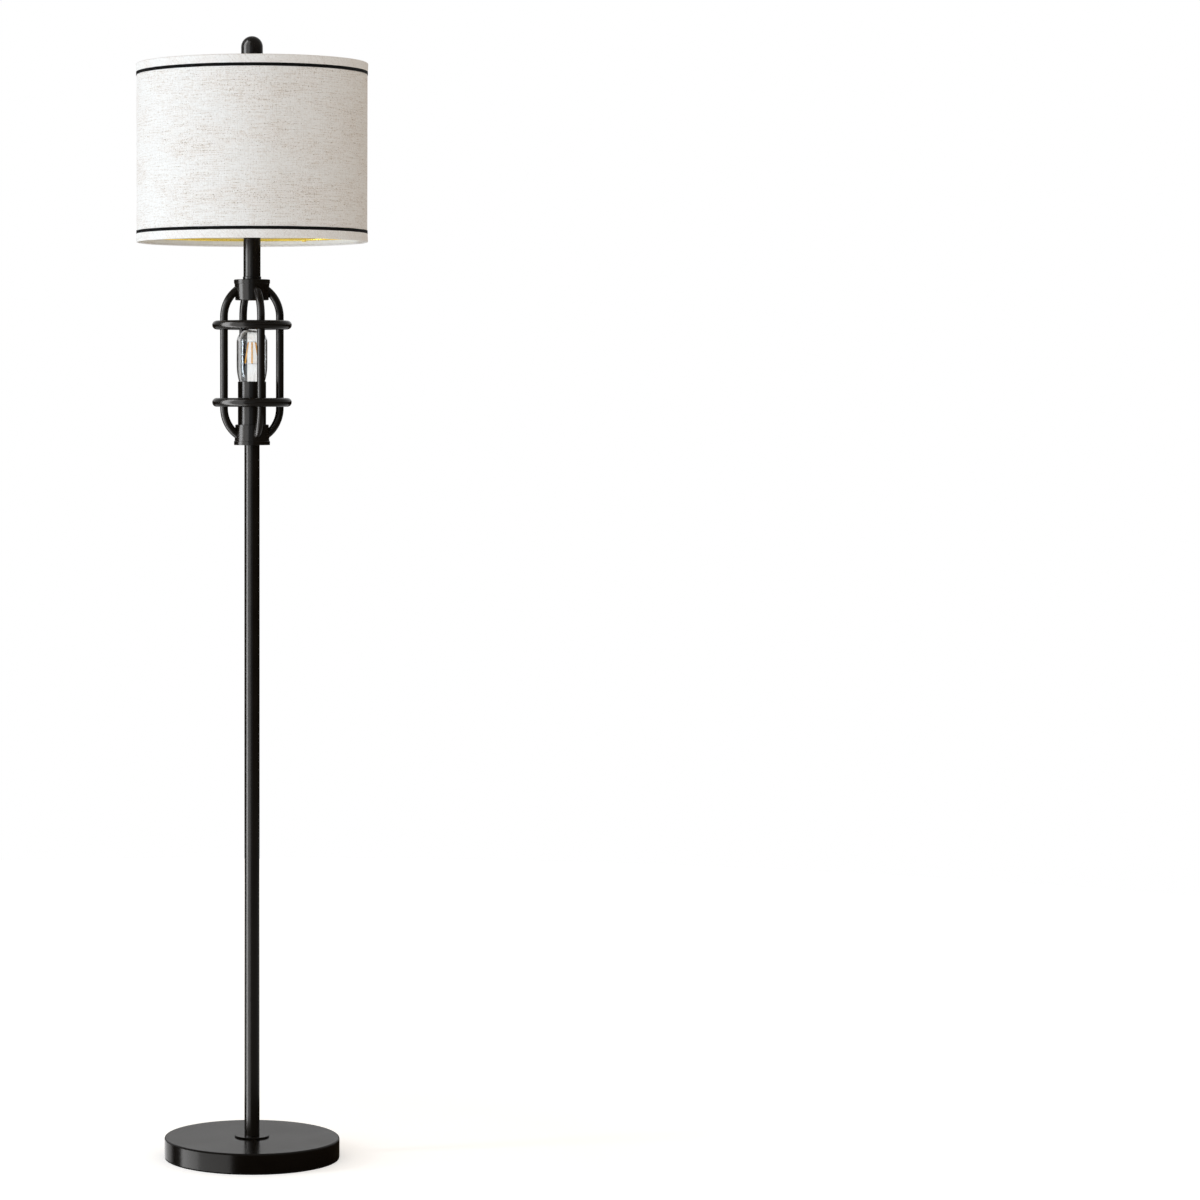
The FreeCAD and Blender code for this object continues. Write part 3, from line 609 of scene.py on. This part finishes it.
def base_collar():
    """The thin disc on the base, at the foot of the column."""
    low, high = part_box("base_collar")
    outline = [(PIPE_HOLE, low.z), (high.x, low.z)]
    outline += outer_corner(high.x, high.z, COLLAR_EDGE, 1) + [(PIPE_HOLE, high.z)]
    mesh = lathe_mesh("base_collar_disc", outline, segments=180)
    paint = materials["black_paint"]
    add_piece("base_collar_disc", mesh, paint, "stand", "black_paint", "base_collar")


def finial():
    """The domed cap above the shade, hollow from below."""
    low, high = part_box("finial_cap")
    radius = high.x
    spring = high.z - radius
    inner = radius - FINIAL_WALL
    outline = outer_corner(radius, low.z, FINIAL_EDGE, -1)
    outline += [(radius, z) for z in spread(low.z + FINIAL_FOOT, spring, 6)[:-1]]
    outline += arc_points((0, spring), (radius, radius), 0, 90, 32)[:-1] + [(0.0, high.z)]
    outline += [(0.0, high.z - FINIAL_WALL)]
    outline += arc_points((0, spring), (inner, inner), 90, 0, 20)[1:] + [(inner, low.z)]
    mesh = lathe_mesh("finial_dome", outline, segments=120)
    paint = materials["black_paint"]
    add_piece("finial_dome", mesh, paint, "finial", "black_paint", "finial_cap")


# Shade

BACK_ANGLE = EYE_ANGLE + math.pi  # the seam is on the side away from the camera
CLOTH_SEGMENTS = 720
CLOTH_ROWS = 36
CLOTH_THICKNESS = 0.0008
CLOTH_GAP = 0.0001  # by which cloth and lining each stand back from where they would touch
CLOTH_WAVE = 0.00012
SEAM_WIDTH = 0.012
SEAM_RISE = 0.0005
SEAM_SLOPE = 0.004  # over which the cloth climbs onto the overlap
SEAM_STEP = 0.0006  # over which it comes down on the other side
TAPE_THICKNESS = 0.0006
TAPE_GAP = 0.00005  # between the cloth and the tape's hidden side
TAPE_WAVE = 0.00009
TAPE_FRAY = 0.00022  # unevenness of the cut edge
TAPE_ANGLE = math.radians(45)  # it is cut on the bias
TAPE_MARKS = 0.4  # strength of the brown places in it
HEM_OUTER = 0.012  # how high the tape reaches over the cloth
HEM_INNER = 0.003  # and over the lining
HEM_PROUD = 0.0011  # how far the fold stands out from the cloth
HEM_HOLLOW = 0.0008  # and in from the lining
HEM_TURN = 0.0016  # height of the rounded fold
RIBBON_WIDTH = 0.0045
RIBBON_EDGE = 0.00022  # radius of its rounded edges
RIBBON_GAP = 0.00003
RIBBON_WAVE = 0.00016


def seam_lift(angle, radius):
    """How far the overlap at the seam lifts the cloth: a slope at one side, a step at the other."""
    along = ((angle - BACK_ANGLE + math.pi) % TURN - math.pi) * radius
    half = SEAM_WIDTH / 2
    climb = smooth_step(along, -half - SEAM_SLOPE, -half)
    fall = smooth_step(along, half, half + SEAM_STEP)
    return SEAM_RISE * climb * (1 - fall)


def cloth_shift(angle, radius, height):
    """Slow unevenness of stretched cloth, and the seam."""
    wave = CLOTH_WAVE * uneven(angle, 1.7, height * 10.2)
    return radius + wave + seam_lift(angle, radius), height


def wall_outline(outer, inner, levels):
    """Outline of a plain wall, up its outer side and down its inner side."""
    return [(outer, z) for z in levels] + [(inner, z) for z in reversed(levels)]


def shade_pieces():
    """The drum: cloth and lining, a tape folded over each rim, and the ribbons beside the tapes."""
    low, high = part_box("shade_fabric")
    outer = high.x
    middle = outer - CLOTH_THICKNESS
    inner = middle - CLOTH_THICKNESS
    levels = spread(low.z, high.z, CLOTH_ROWS)
    outline = wall_outline(outer, middle + CLOTH_GAP, levels)
    mesh = lathe_mesh("shade_cloth", outline, CLOTH_SEGMENTS, cloth_shift)
    cloth = add_piece("shade_cloth", mesh, linen("linen"), "shade", "shade_linen", "shade_fabric")
    outline = wall_outline(middle - CLOTH_GAP, inner, levels)
    mesh = lathe_mesh("shade_lining", outline, segments=480)
    back = add_piece("shade_lining", mesh, lining(), "shade", "shade_lining", "shade_liner")
    bias = linen("bias_tape", TAPE_ANGLE, TAPE_MARKS)
    tapes = [
        hem_tape("shade_hem_lower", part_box("shade_hem_lower")[0].z, 1, outer, inner, bias),
        hem_tape("shade_hem_upper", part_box("shade_hem_upper")[1].z, -1, outer, inner, bias),
    ]
    trims = ribbon_pair(outer)


def hem_outline(outer, inner):
    """Outline of a tape folded over a rim, with heights counted from the rim."""
    crest = outer + HEM_PROUD
    hollow = inner - HEM_HOLLOW
    middle = (crest + hollow) / 2
    half = (crest - hollow) / 2
    face = outer + TAPE_THICKNESS
    outline = [(outer + TAPE_GAP, HEM_OUTER), (face, HEM_OUTER - 0.0001)]
    for share, height in zip(spread(0.1, 1.0, 6), spread(HEM_OUTER - 0.0012, HEM_TURN, 6)):
        outline.append((face + (crest - face) * share**2, height))
    outline += arc_points((middle, HEM_TURN), (half, HEM_TURN), 0, -180, EDGE_STEPS)[1:]
    outline += [(hollow + 0.0002, HEM_INNER - 0.0001), (inner - TAPE_GAP, HEM_INNER)]
    return outline + [(inner - TAPE_GAP, HEM_TURN), (outer + TAPE_GAP, HEM_TURN)]


def hem_tape(name, rim, up, outer, inner, material):
    """Tape folded over a rim of the drum. up is 1 where the drum stands above the rim."""
    outline = [(radius, rim + up * height) for radius, height in hem_outline(outer, inner)]
    if up > 0:
        outline.reverse()

    def shift(angle, radius, height):
        wave = TAPE_WAVE * uneven(angle, 9, height * 40) + seam_lift(angle, radius)
        cut_edge = abs(height - rim) > HEM_OUTER - 0.0005
        fray = TAPE_FRAY * uneven(angle, 22.5, height * 100) if cut_edge else 0.0
        return radius + (wave if radius > outer else 0.0), height + fray

    mesh = lathe_mesh(name, outline, CLOTH_SEGMENTS, shift)
    return add_piece(name + "_tape", mesh, material, "shade", "shade_tape", name)


def ribbon_mesh(name, outer, crest, foot):
    """A ribbon round the cloth, out to the crest, with rounded edges. It wavers up and down."""
    top = foot + RIBBON_WIDTH
    middle = crest - RIBBON_EDGE
    edge = (RIBBON_EDGE, RIBBON_EDGE)
    outline = [(outer + RIBBON_GAP, foot)]
    outline += arc_points((middle, foot + RIBBON_EDGE), edge, -90, 0, 4)
    outline += arc_points((middle, top - RIBBON_EDGE), edge, 0, 90, 4)
    outline += [(outer + RIBBON_GAP, top)]

    def shift(angle, radius, height):
        drift = RIBBON_WAVE * uneven(angle, 5, foot * 30)
        return radius + seam_lift(angle, radius), height + drift

    return lathe_mesh(name, outline, CLOTH_SEGMENTS, shift)


def ribbon_pair(outer):
    """The narrow black ribbons beside the tapes. The lower one stands for both CAD rings."""
    low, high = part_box("shade_trims")
    material = ribbon()
    pieces = []
    for side, foot in (("lower", low.z), ("upper", high.z - RIBBON_WIDTH)):
        name = "trim_ribbon_" + side
        mesh = ribbon_mesh(name, outer, high.x, foot)
        replaced = ["shade_trims"] if side == "lower" else []
        pieces.append(add_piece(name, mesh, material, "shade", "shade_trim", *replaced))
    return pieces


# Bulb caps

THREAD_LEAD = 0.00363
THREAD_DEPTH = 0.0008
THREAD_ROWS = 90
CAP_PLAIN = 0.0055  # height of the skirt above the thread, and of the tip below it
CAP_WALL = 0.0008
INSULATOR_BORE = 0.0042
CONTACT_RADIUS = 0.0046
CONTACT_RISE = 0.0016  # height of the contact's dome
CONTACT_TOP = 0.0022


def threaded_shell(name, foot, top, radius):
    """Screw shell of a bulb cap: a rounded thread between a plain skirt and a turned-in end."""
    end = foot + CAP_PLAIN
    skirt = top - CAP_PLAIN
    outline = [(radius - 0.0022, end - 0.0004), (radius - 0.0012, end - 0.0001)]
    outline += [(radius, z) for z in spread(end, skirt, THREAD_ROWS)]
    outline += [(radius - 0.0001, skirt + 0.0006), (radius, skirt + 0.0014)]
    outline += [(radius, top - 0.0003), (radius - 0.0003, top)]
    outline += [(radius - CAP_WALL, top), (radius - CAP_WALL, end)]

    def thread(angle, r, height):
        if r < radius or not end <= height <= skirt:
            return r, height
        fade = smooth_step(height, end, end + THREAD_LEAD / 2)
        fade *= 1 - smooth_step(height, skirt - THREAD_LEAD / 2, skirt)
        wave = 0.5 - 0.5 * math.cos(TURN * height / THREAD_LEAD - angle)
        return r - THREAD_DEPTH * (fade * wave + (1 - fade) * 0.5), height

    return lathe_mesh(name, outline, 96, thread)


def cap_insulator_mesh(name, foot, radius):
    """Rounded ring of black glass between the contact and the shell."""
    outline = [(INSULATOR_BORE, foot + 0.0006), (0.0050, foot + 0.0007)]
    outline += arc_points((radius - 0.0034, foot + 0.0042), (0.0018, 0.0014), -70, 60, 6)
    outline += [(INSULATOR_BORE, foot + 0.0060)]
    return lathe_mesh(name, outline, segments=72)


def cap_contact_mesh(name, foot):
    """Shallow dome at the tip of the cap."""
    outline = [(0.0003, foot)]
    spring = (0.0, foot + CONTACT_RISE)
    outline += arc_points(spring, (CONTACT_RADIUS, CONTACT_RISE), -90, 0, 6)[1:]
    outline += [(CONTACT_RADIUS, foot + CONTACT_TOP), (0.0004, foot + CONTACT_TOP)]
    return lathe_mesh(name, outline, segments=48)


def bulb_cap(body, node):
    """Screw shell, black glass and contact, in the place of the plain cap."""
    low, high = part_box(node)
    metal = materials["cap_metal"]
    name = body + "_cap_shell"
    shell = threaded_shell(name, low.z, high.z, high.x)
    add_piece(name, shell, metal, body, "cap_metal", node)
    name = body + "_cap_glass"
    insulator = cap_insulator_mesh(name, low.z, high.x)
    add_piece(name, insulator, materials["cap_insulator"], body, "cap_metal")
    name = body + "_cap_contact"
    add_piece(name, cap_contact_mesh(name, low.z), metal, body, "cap_metal")


# Filaments

FILAMENT_RADIUS = 0.00105
FILAMENT_FIRST = math.radians(27.3)  # direction of the first one
FILAMENT_COUNT = 4
FILAMENT_FOOT_R = 0.0098  # distance of their feet from the axis
FILAMENT_HEAD_R = 0.0052  # and of their heads
FILAMENT_REACH = 0.0006  # how far the supports stand past the plain rods' ends
FILAMENT_BORE = 0.00005
TAB_LENGTH = 0.0012
TAB_RADIUS = 0.00035
SUPPORT_WIRE_R = 0.0003
SUPPORT_HUB_R = 0.0014


def stick_mesh(name, outline, start, end):
    """A turned mesh laid along the line from start to end. The heights in its outline are shares
    of that line."""
    length = (end - start).length
    mesh = lathe_mesh(name, [(r, z * length) for r, z in outline], segments=20)
    turn = Vector((0, 0, 1)).rotation_difference(end - start).to_matrix().to_4x4()
    mesh.transform(Matrix.Translation(start) @ turn)
    return mesh


def rod_outline(radius, start=0.0, bore=0.0):
    """Outline of a straight rod from a share of a line, start, to the line's end. bore is the
    radius of the hole along it."""
    return [(bore, start), (radius, start), (radius, 1.0), (bore, 1.0)]


def filament_outline(tab_share):
    """Outline of a rounded stick between two tabs, each of which takes a share of the line."""
    tip = [(FILAMENT_BORE, tab_share * 0.5)]
    for t in (0.5, 1.0, 1.4):
        tip.append((FILAMENT_RADIUS * math.sin(t), tab_share * (1 - 0.5 * math.cos(t))))
    side = [(FILAMENT_RADIUS, tab_share + (1 - 2 * tab_share) * t) for t in spread(0, 1, 14)]
    return tip + side + [(r, 1 - z) for r, z in reversed(tip)]


def filament_directions():
    """The filaments' directions from the axis."""
    for k in range(FILAMENT_COUNT):
        angle = FILAMENT_FIRST + TURN * k / FILAMENT_COUNT
        yield Vector((math.cos(angle), math.sin(angle), 0))


def supports(low, high):
    """Wire stars on the stem's rod, which carry the filaments' ends."""
    steel = materials["plated_steel"]
    for side, level, reach in (("low", low, FILAMENT_FOOT_R), ("high", high, FILAMENT_HEAD_R)):
        centre = Vector((0, 0, level))
        tops = centre + Vector((0, 0, SUPPORT_WIRE_R))
        name = "support_hub_" + side
        hub = stick_mesh(name, rod_outline(SUPPORT_HUB_R, start=-1.0), centre, tops)
        replaced = ["cage_bulb_supports"] if side == "low" else []
        add_piece(name, hub, steel, "cage_bulb", "plated_steel", *replaced)
        for number, out in enumerate(filament_directions(), 1):
            name = "support_" + side + "_" + str(number)
            arm = stick_mesh(name, rod_outline(SUPPORT_WIRE_R), centre, centre + out * reach)
            add_piece(name, arm, steel, "cage_bulb", "plated_steel")


def filaments():
    """Four slanted sticks, each with a metal tab at both ends."""
    low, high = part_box("cage_bulb_filaments")
    low = low.z - FILAMENT_REACH
    high = high.z + FILAMENT_REACH
    supports(low, high)
    for number, out in enumerate(filament_directions(), 1):
        foot = out * FILAMENT_FOOT_R + Vector((0, 0, low))
        head = out * FILAMENT_HEAD_R + Vector((0, 0, high))
        outline = filament_outline(TAB_LENGTH / (head - foot).length)
        name = "filament_" + str(number)
        stick = stick_mesh(name, outline, foot, head)
        replaced = ["cage_bulb_filaments"] if number == 1 else []
        add_piece(name, stick, materials["filament"], "cage_bulb", "filament", *replaced)
        name += "_wire"
        wire = stick_mesh(name, rod_outline(TAB_RADIUS, bore=FILAMENT_BORE), foot, head)
        add_piece(name, wire, materials["plated_steel"], "cage_bulb", "plated_steel")


# Stage

def stage_mesh(name, outline, material):
    """Adds a part of the stage, an open outline turned about the lamp's axis."""
    part = bpy.data.objects.new(name, lathe_mesh(name, outline, segments=96, closed=False))
    bpy.context.scene.collection.objects.link(part)
    part.data.materials.append(material)
    return part


def floor_material():
    """Pale floor. What is seen of it is lifted to plain white, so that it meets the white
    background; it keeps the lamp's shadow."""
    finish = Finish("studio_floor", roughness=0.9, specular_ior_level=0.1)
    mottle = finish.noise(3.0, 2.0)
    finish.feed("Base Color", finish.mix(mottle, rgb(0.90, 0.90, 0.90), rgb(0.92, 0.92, 0.92)))
    away = finish.add("VectorMath", {0: finish.place}, operation="LENGTH").outputs["Value"]
    lift = finish.fit(away, *FLOOR_FADE, *FLOOR_LIFT)
    strength = finish.math("MULTIPLY", lift, seen_ray(finish.tree))
    white = finish.add("Emission", {"Color": rgb(1, 1, 1), "Strength": strength})
    finish.surface("AddShader", finish.shader.outputs[0], white.outputs[0])
    return finish.material


def make_floor():
    floor = stage_mesh("floor", [(radius, 0.0) for radius in FLOOR_RADII], floor_material())
    floor.visible_glossy = False  # gloss shows the white world and the low softboxes in its place


def card_material():
    """Dark to rays that gloss has reflected, and clear to the rest."""
    finish = Finish("dark_card", roughness=1.0, specular_ior_level=0.0)
    cloud = finish.noise(0.4, 2.0)
    finish.feed("Base Color", finish.mix(cloud, rgb(0.030, 0.020, 0.012), rgb(0.060, 0.045, 0.032)))
    glossy_depth = finish.add("LightPath").outputs["Glossy Depth"]
    straight = finish.math("LESS_THAN", glossy_depth, 0.5)
    clear = finish.add("BsdfTransparent")
    finish.surface("MixShader", straight, finish.shader.outputs[0], clear.outputs[0])
    return finish.material


def make_cards():
    """Dark cards round the set, low on the horizon, and one below the floor round the base. Only
    reflections show them: they keep the edges of the black metal and of the bulb dark, as in the
    photograph."""
    material = card_material()
    for name, outline in CARD_OUTLINES.items():
        card = stage_mesh(name, outline, material)
        card.visible_camera = False
        card.visible_diffuse = False
        card.visible_shadow = False


def make_world():
    """A warm even light, which the camera, mirrors and glass see as plain white."""
    world = bpy.data.worlds.new("studio")
    bpy.context.scene.world = world
    world.use_nodes = True
    tree = world.node_tree
    tree.nodes.clear()
    ambient = new_node(tree, "Background", {"Color": rgb(*AMBIENT_COLOUR), "Strength": AMBIENT})
    white = new_node(tree, "Background", {"Color": rgb(1, 1, 1), "Strength": 1.0})
    sockets = {0: seen_ray(tree), 1: ambient.outputs[0], 2: white.outputs[0]}
    both = new_node(tree, "MixShader", sockets)
    new_node(tree, "OutputWorld", {"Surface": both.outputs[0]})


def add_softbox(name, turn, distance, height, size, watts):
    data = bpy.data.lights.new(name, "AREA")
    data.shape = "RECTANGLE"
    data.size, data.size_y = size
    data.energy = watts
    box = bpy.data.objects.new(name, data)
    angle = EYE_ANGLE + math.radians(turn)
    place = Vector((math.cos(angle), math.sin(angle), 0)) * distance
    box.location = place + Vector((0, 0, height))
    box.rotation_euler = (-place).to_track_quat("-Z", "Y").to_euler()
    box.visible_camera = False
    bpy.context.scene.collection.objects.link(box)
    return box


def make_softboxes():
    """The lamp's main lights, which leave out the base: its flat top would mirror them as plain
    white, seen from behind."""
    all_but_base = bpy.data.collections.new("all_but_base")
    for name in BASE_PIECES:
        all_but_base.objects.link(bpy.data.objects[name])
        all_but_base.collection_objects[-1].light_linking.link_state = "EXCLUDE"
    for name, values in SOFTBOXES.items():
        box = add_softbox(name, *values)
        box.data.color = SOFTBOX_COLOUR
        box.light_linking.receiver_collection = all_but_base


def make_gloss_softboxes():
    """The close softboxes. Each lights its own share of the black pieces, and only black pieces
    stand in its way."""
    painted = bpy.data.collections.new("painted")
    upright = bpy.data.collections.new("painted_upright")
    base = bpy.data.collections.new("painted_base")
    for piece in bpy.context.scene.objects:
        if any(holder.material == materials["black_paint"] for holder in piece.material_slots):
            painted.objects.link(piece)
            part = base if piece.name in BASE_PIECES else upright
            part.objects.link(piece)
    for boxes, receivers in ((GLOSS_SOFTBOXES, upright), (BASE_SOFTBOXES, base)):
        for name, values in boxes.items():
            box = add_softbox(name, *values)
            box.visible_diffuse = False
            box.visible_transmission = False
            box.light_linking.receiver_collection = receivers
            box.light_linking.blocker_collection = painted


def make_camera():
    data = bpy.data.cameras.new("photo_camera")
    data.sensor_width = SENSOR_MM
    data.lens = SENSOR_MM * FOCAL_PIXELS / PICTURE_PIXELS
    data.shift_x = (PICTURE_PIXELS / 2 - AXIS_PIXEL) / PICTURE_PIXELS
    data.clip_end = VIEW_END
    camera = bpy.data.objects.new("photo_camera", data)
    away = Vector((math.cos(EYE_ANGLE), math.sin(EYE_ANGLE), 0))
    camera.location = away * EYE_DISTANCE + Vector((0, 0, EYE_HEIGHT))
    sight = -away * math.cos(EYE_PITCH) + Vector((0, 0, math.sin(EYE_PITCH)))
    camera.rotation_euler = sight.to_track_quat("-Z", "Y").to_euler()
    bpy.context.scene.collection.objects.link(camera)
    bpy.context.scene.camera = camera


def dress_nodes():
    """Gives the CAD nodes their finishes, by the names of their material slots."""
    for node in nodes.values():
        for holder in node.material_slots:
            material = materials.get(holder.material.name)
            if material:
                holder.material = material
    # The second colour is painted shade at the stem's edges.
    stem_glass = glass("stem_glass", rgb(0.98, 0.98, 0.98), rgb(0.90, 0.90, 0.91), index=1.04)
    nodes["cage_bulb_stem"].material_slots[0].material = stem_glass


materials = {slot: hard_finish(**look) for slot, look in HARD_FINISHES.items()}
materials["base_pad"] = felt()
materials["clear_glass"] = glass(
    "clear_glass",
    tint=rgb(0.92, 0.92, 0.91),
    # rim: painted shade at the bulb's edges, in the place of the dark reflections there
    rim=rgb(0.33, 0.34, 0.36),
    index=1.45,
    coat_weight=1.0,
    coat_roughness=0.13,
    coat_ior=1.5,
)
materials["frosted_glass"] = frosted_glass()
materials["filament"] = phosphor()

make_camera()
make_world()
make_floor()
make_cards()
dress_nodes()
base_cover()
base_collar()
finial()
shade_pieces()
bulb_cap("cage_bulb", "cage_bulb_cap")
bulb_cap("main_bulb", "main_bulb_cap")
filaments()
make_softboxes()
make_gloss_softboxes()

scene = bpy.context.scene
scene.view_settings.view_transform = "Standard"
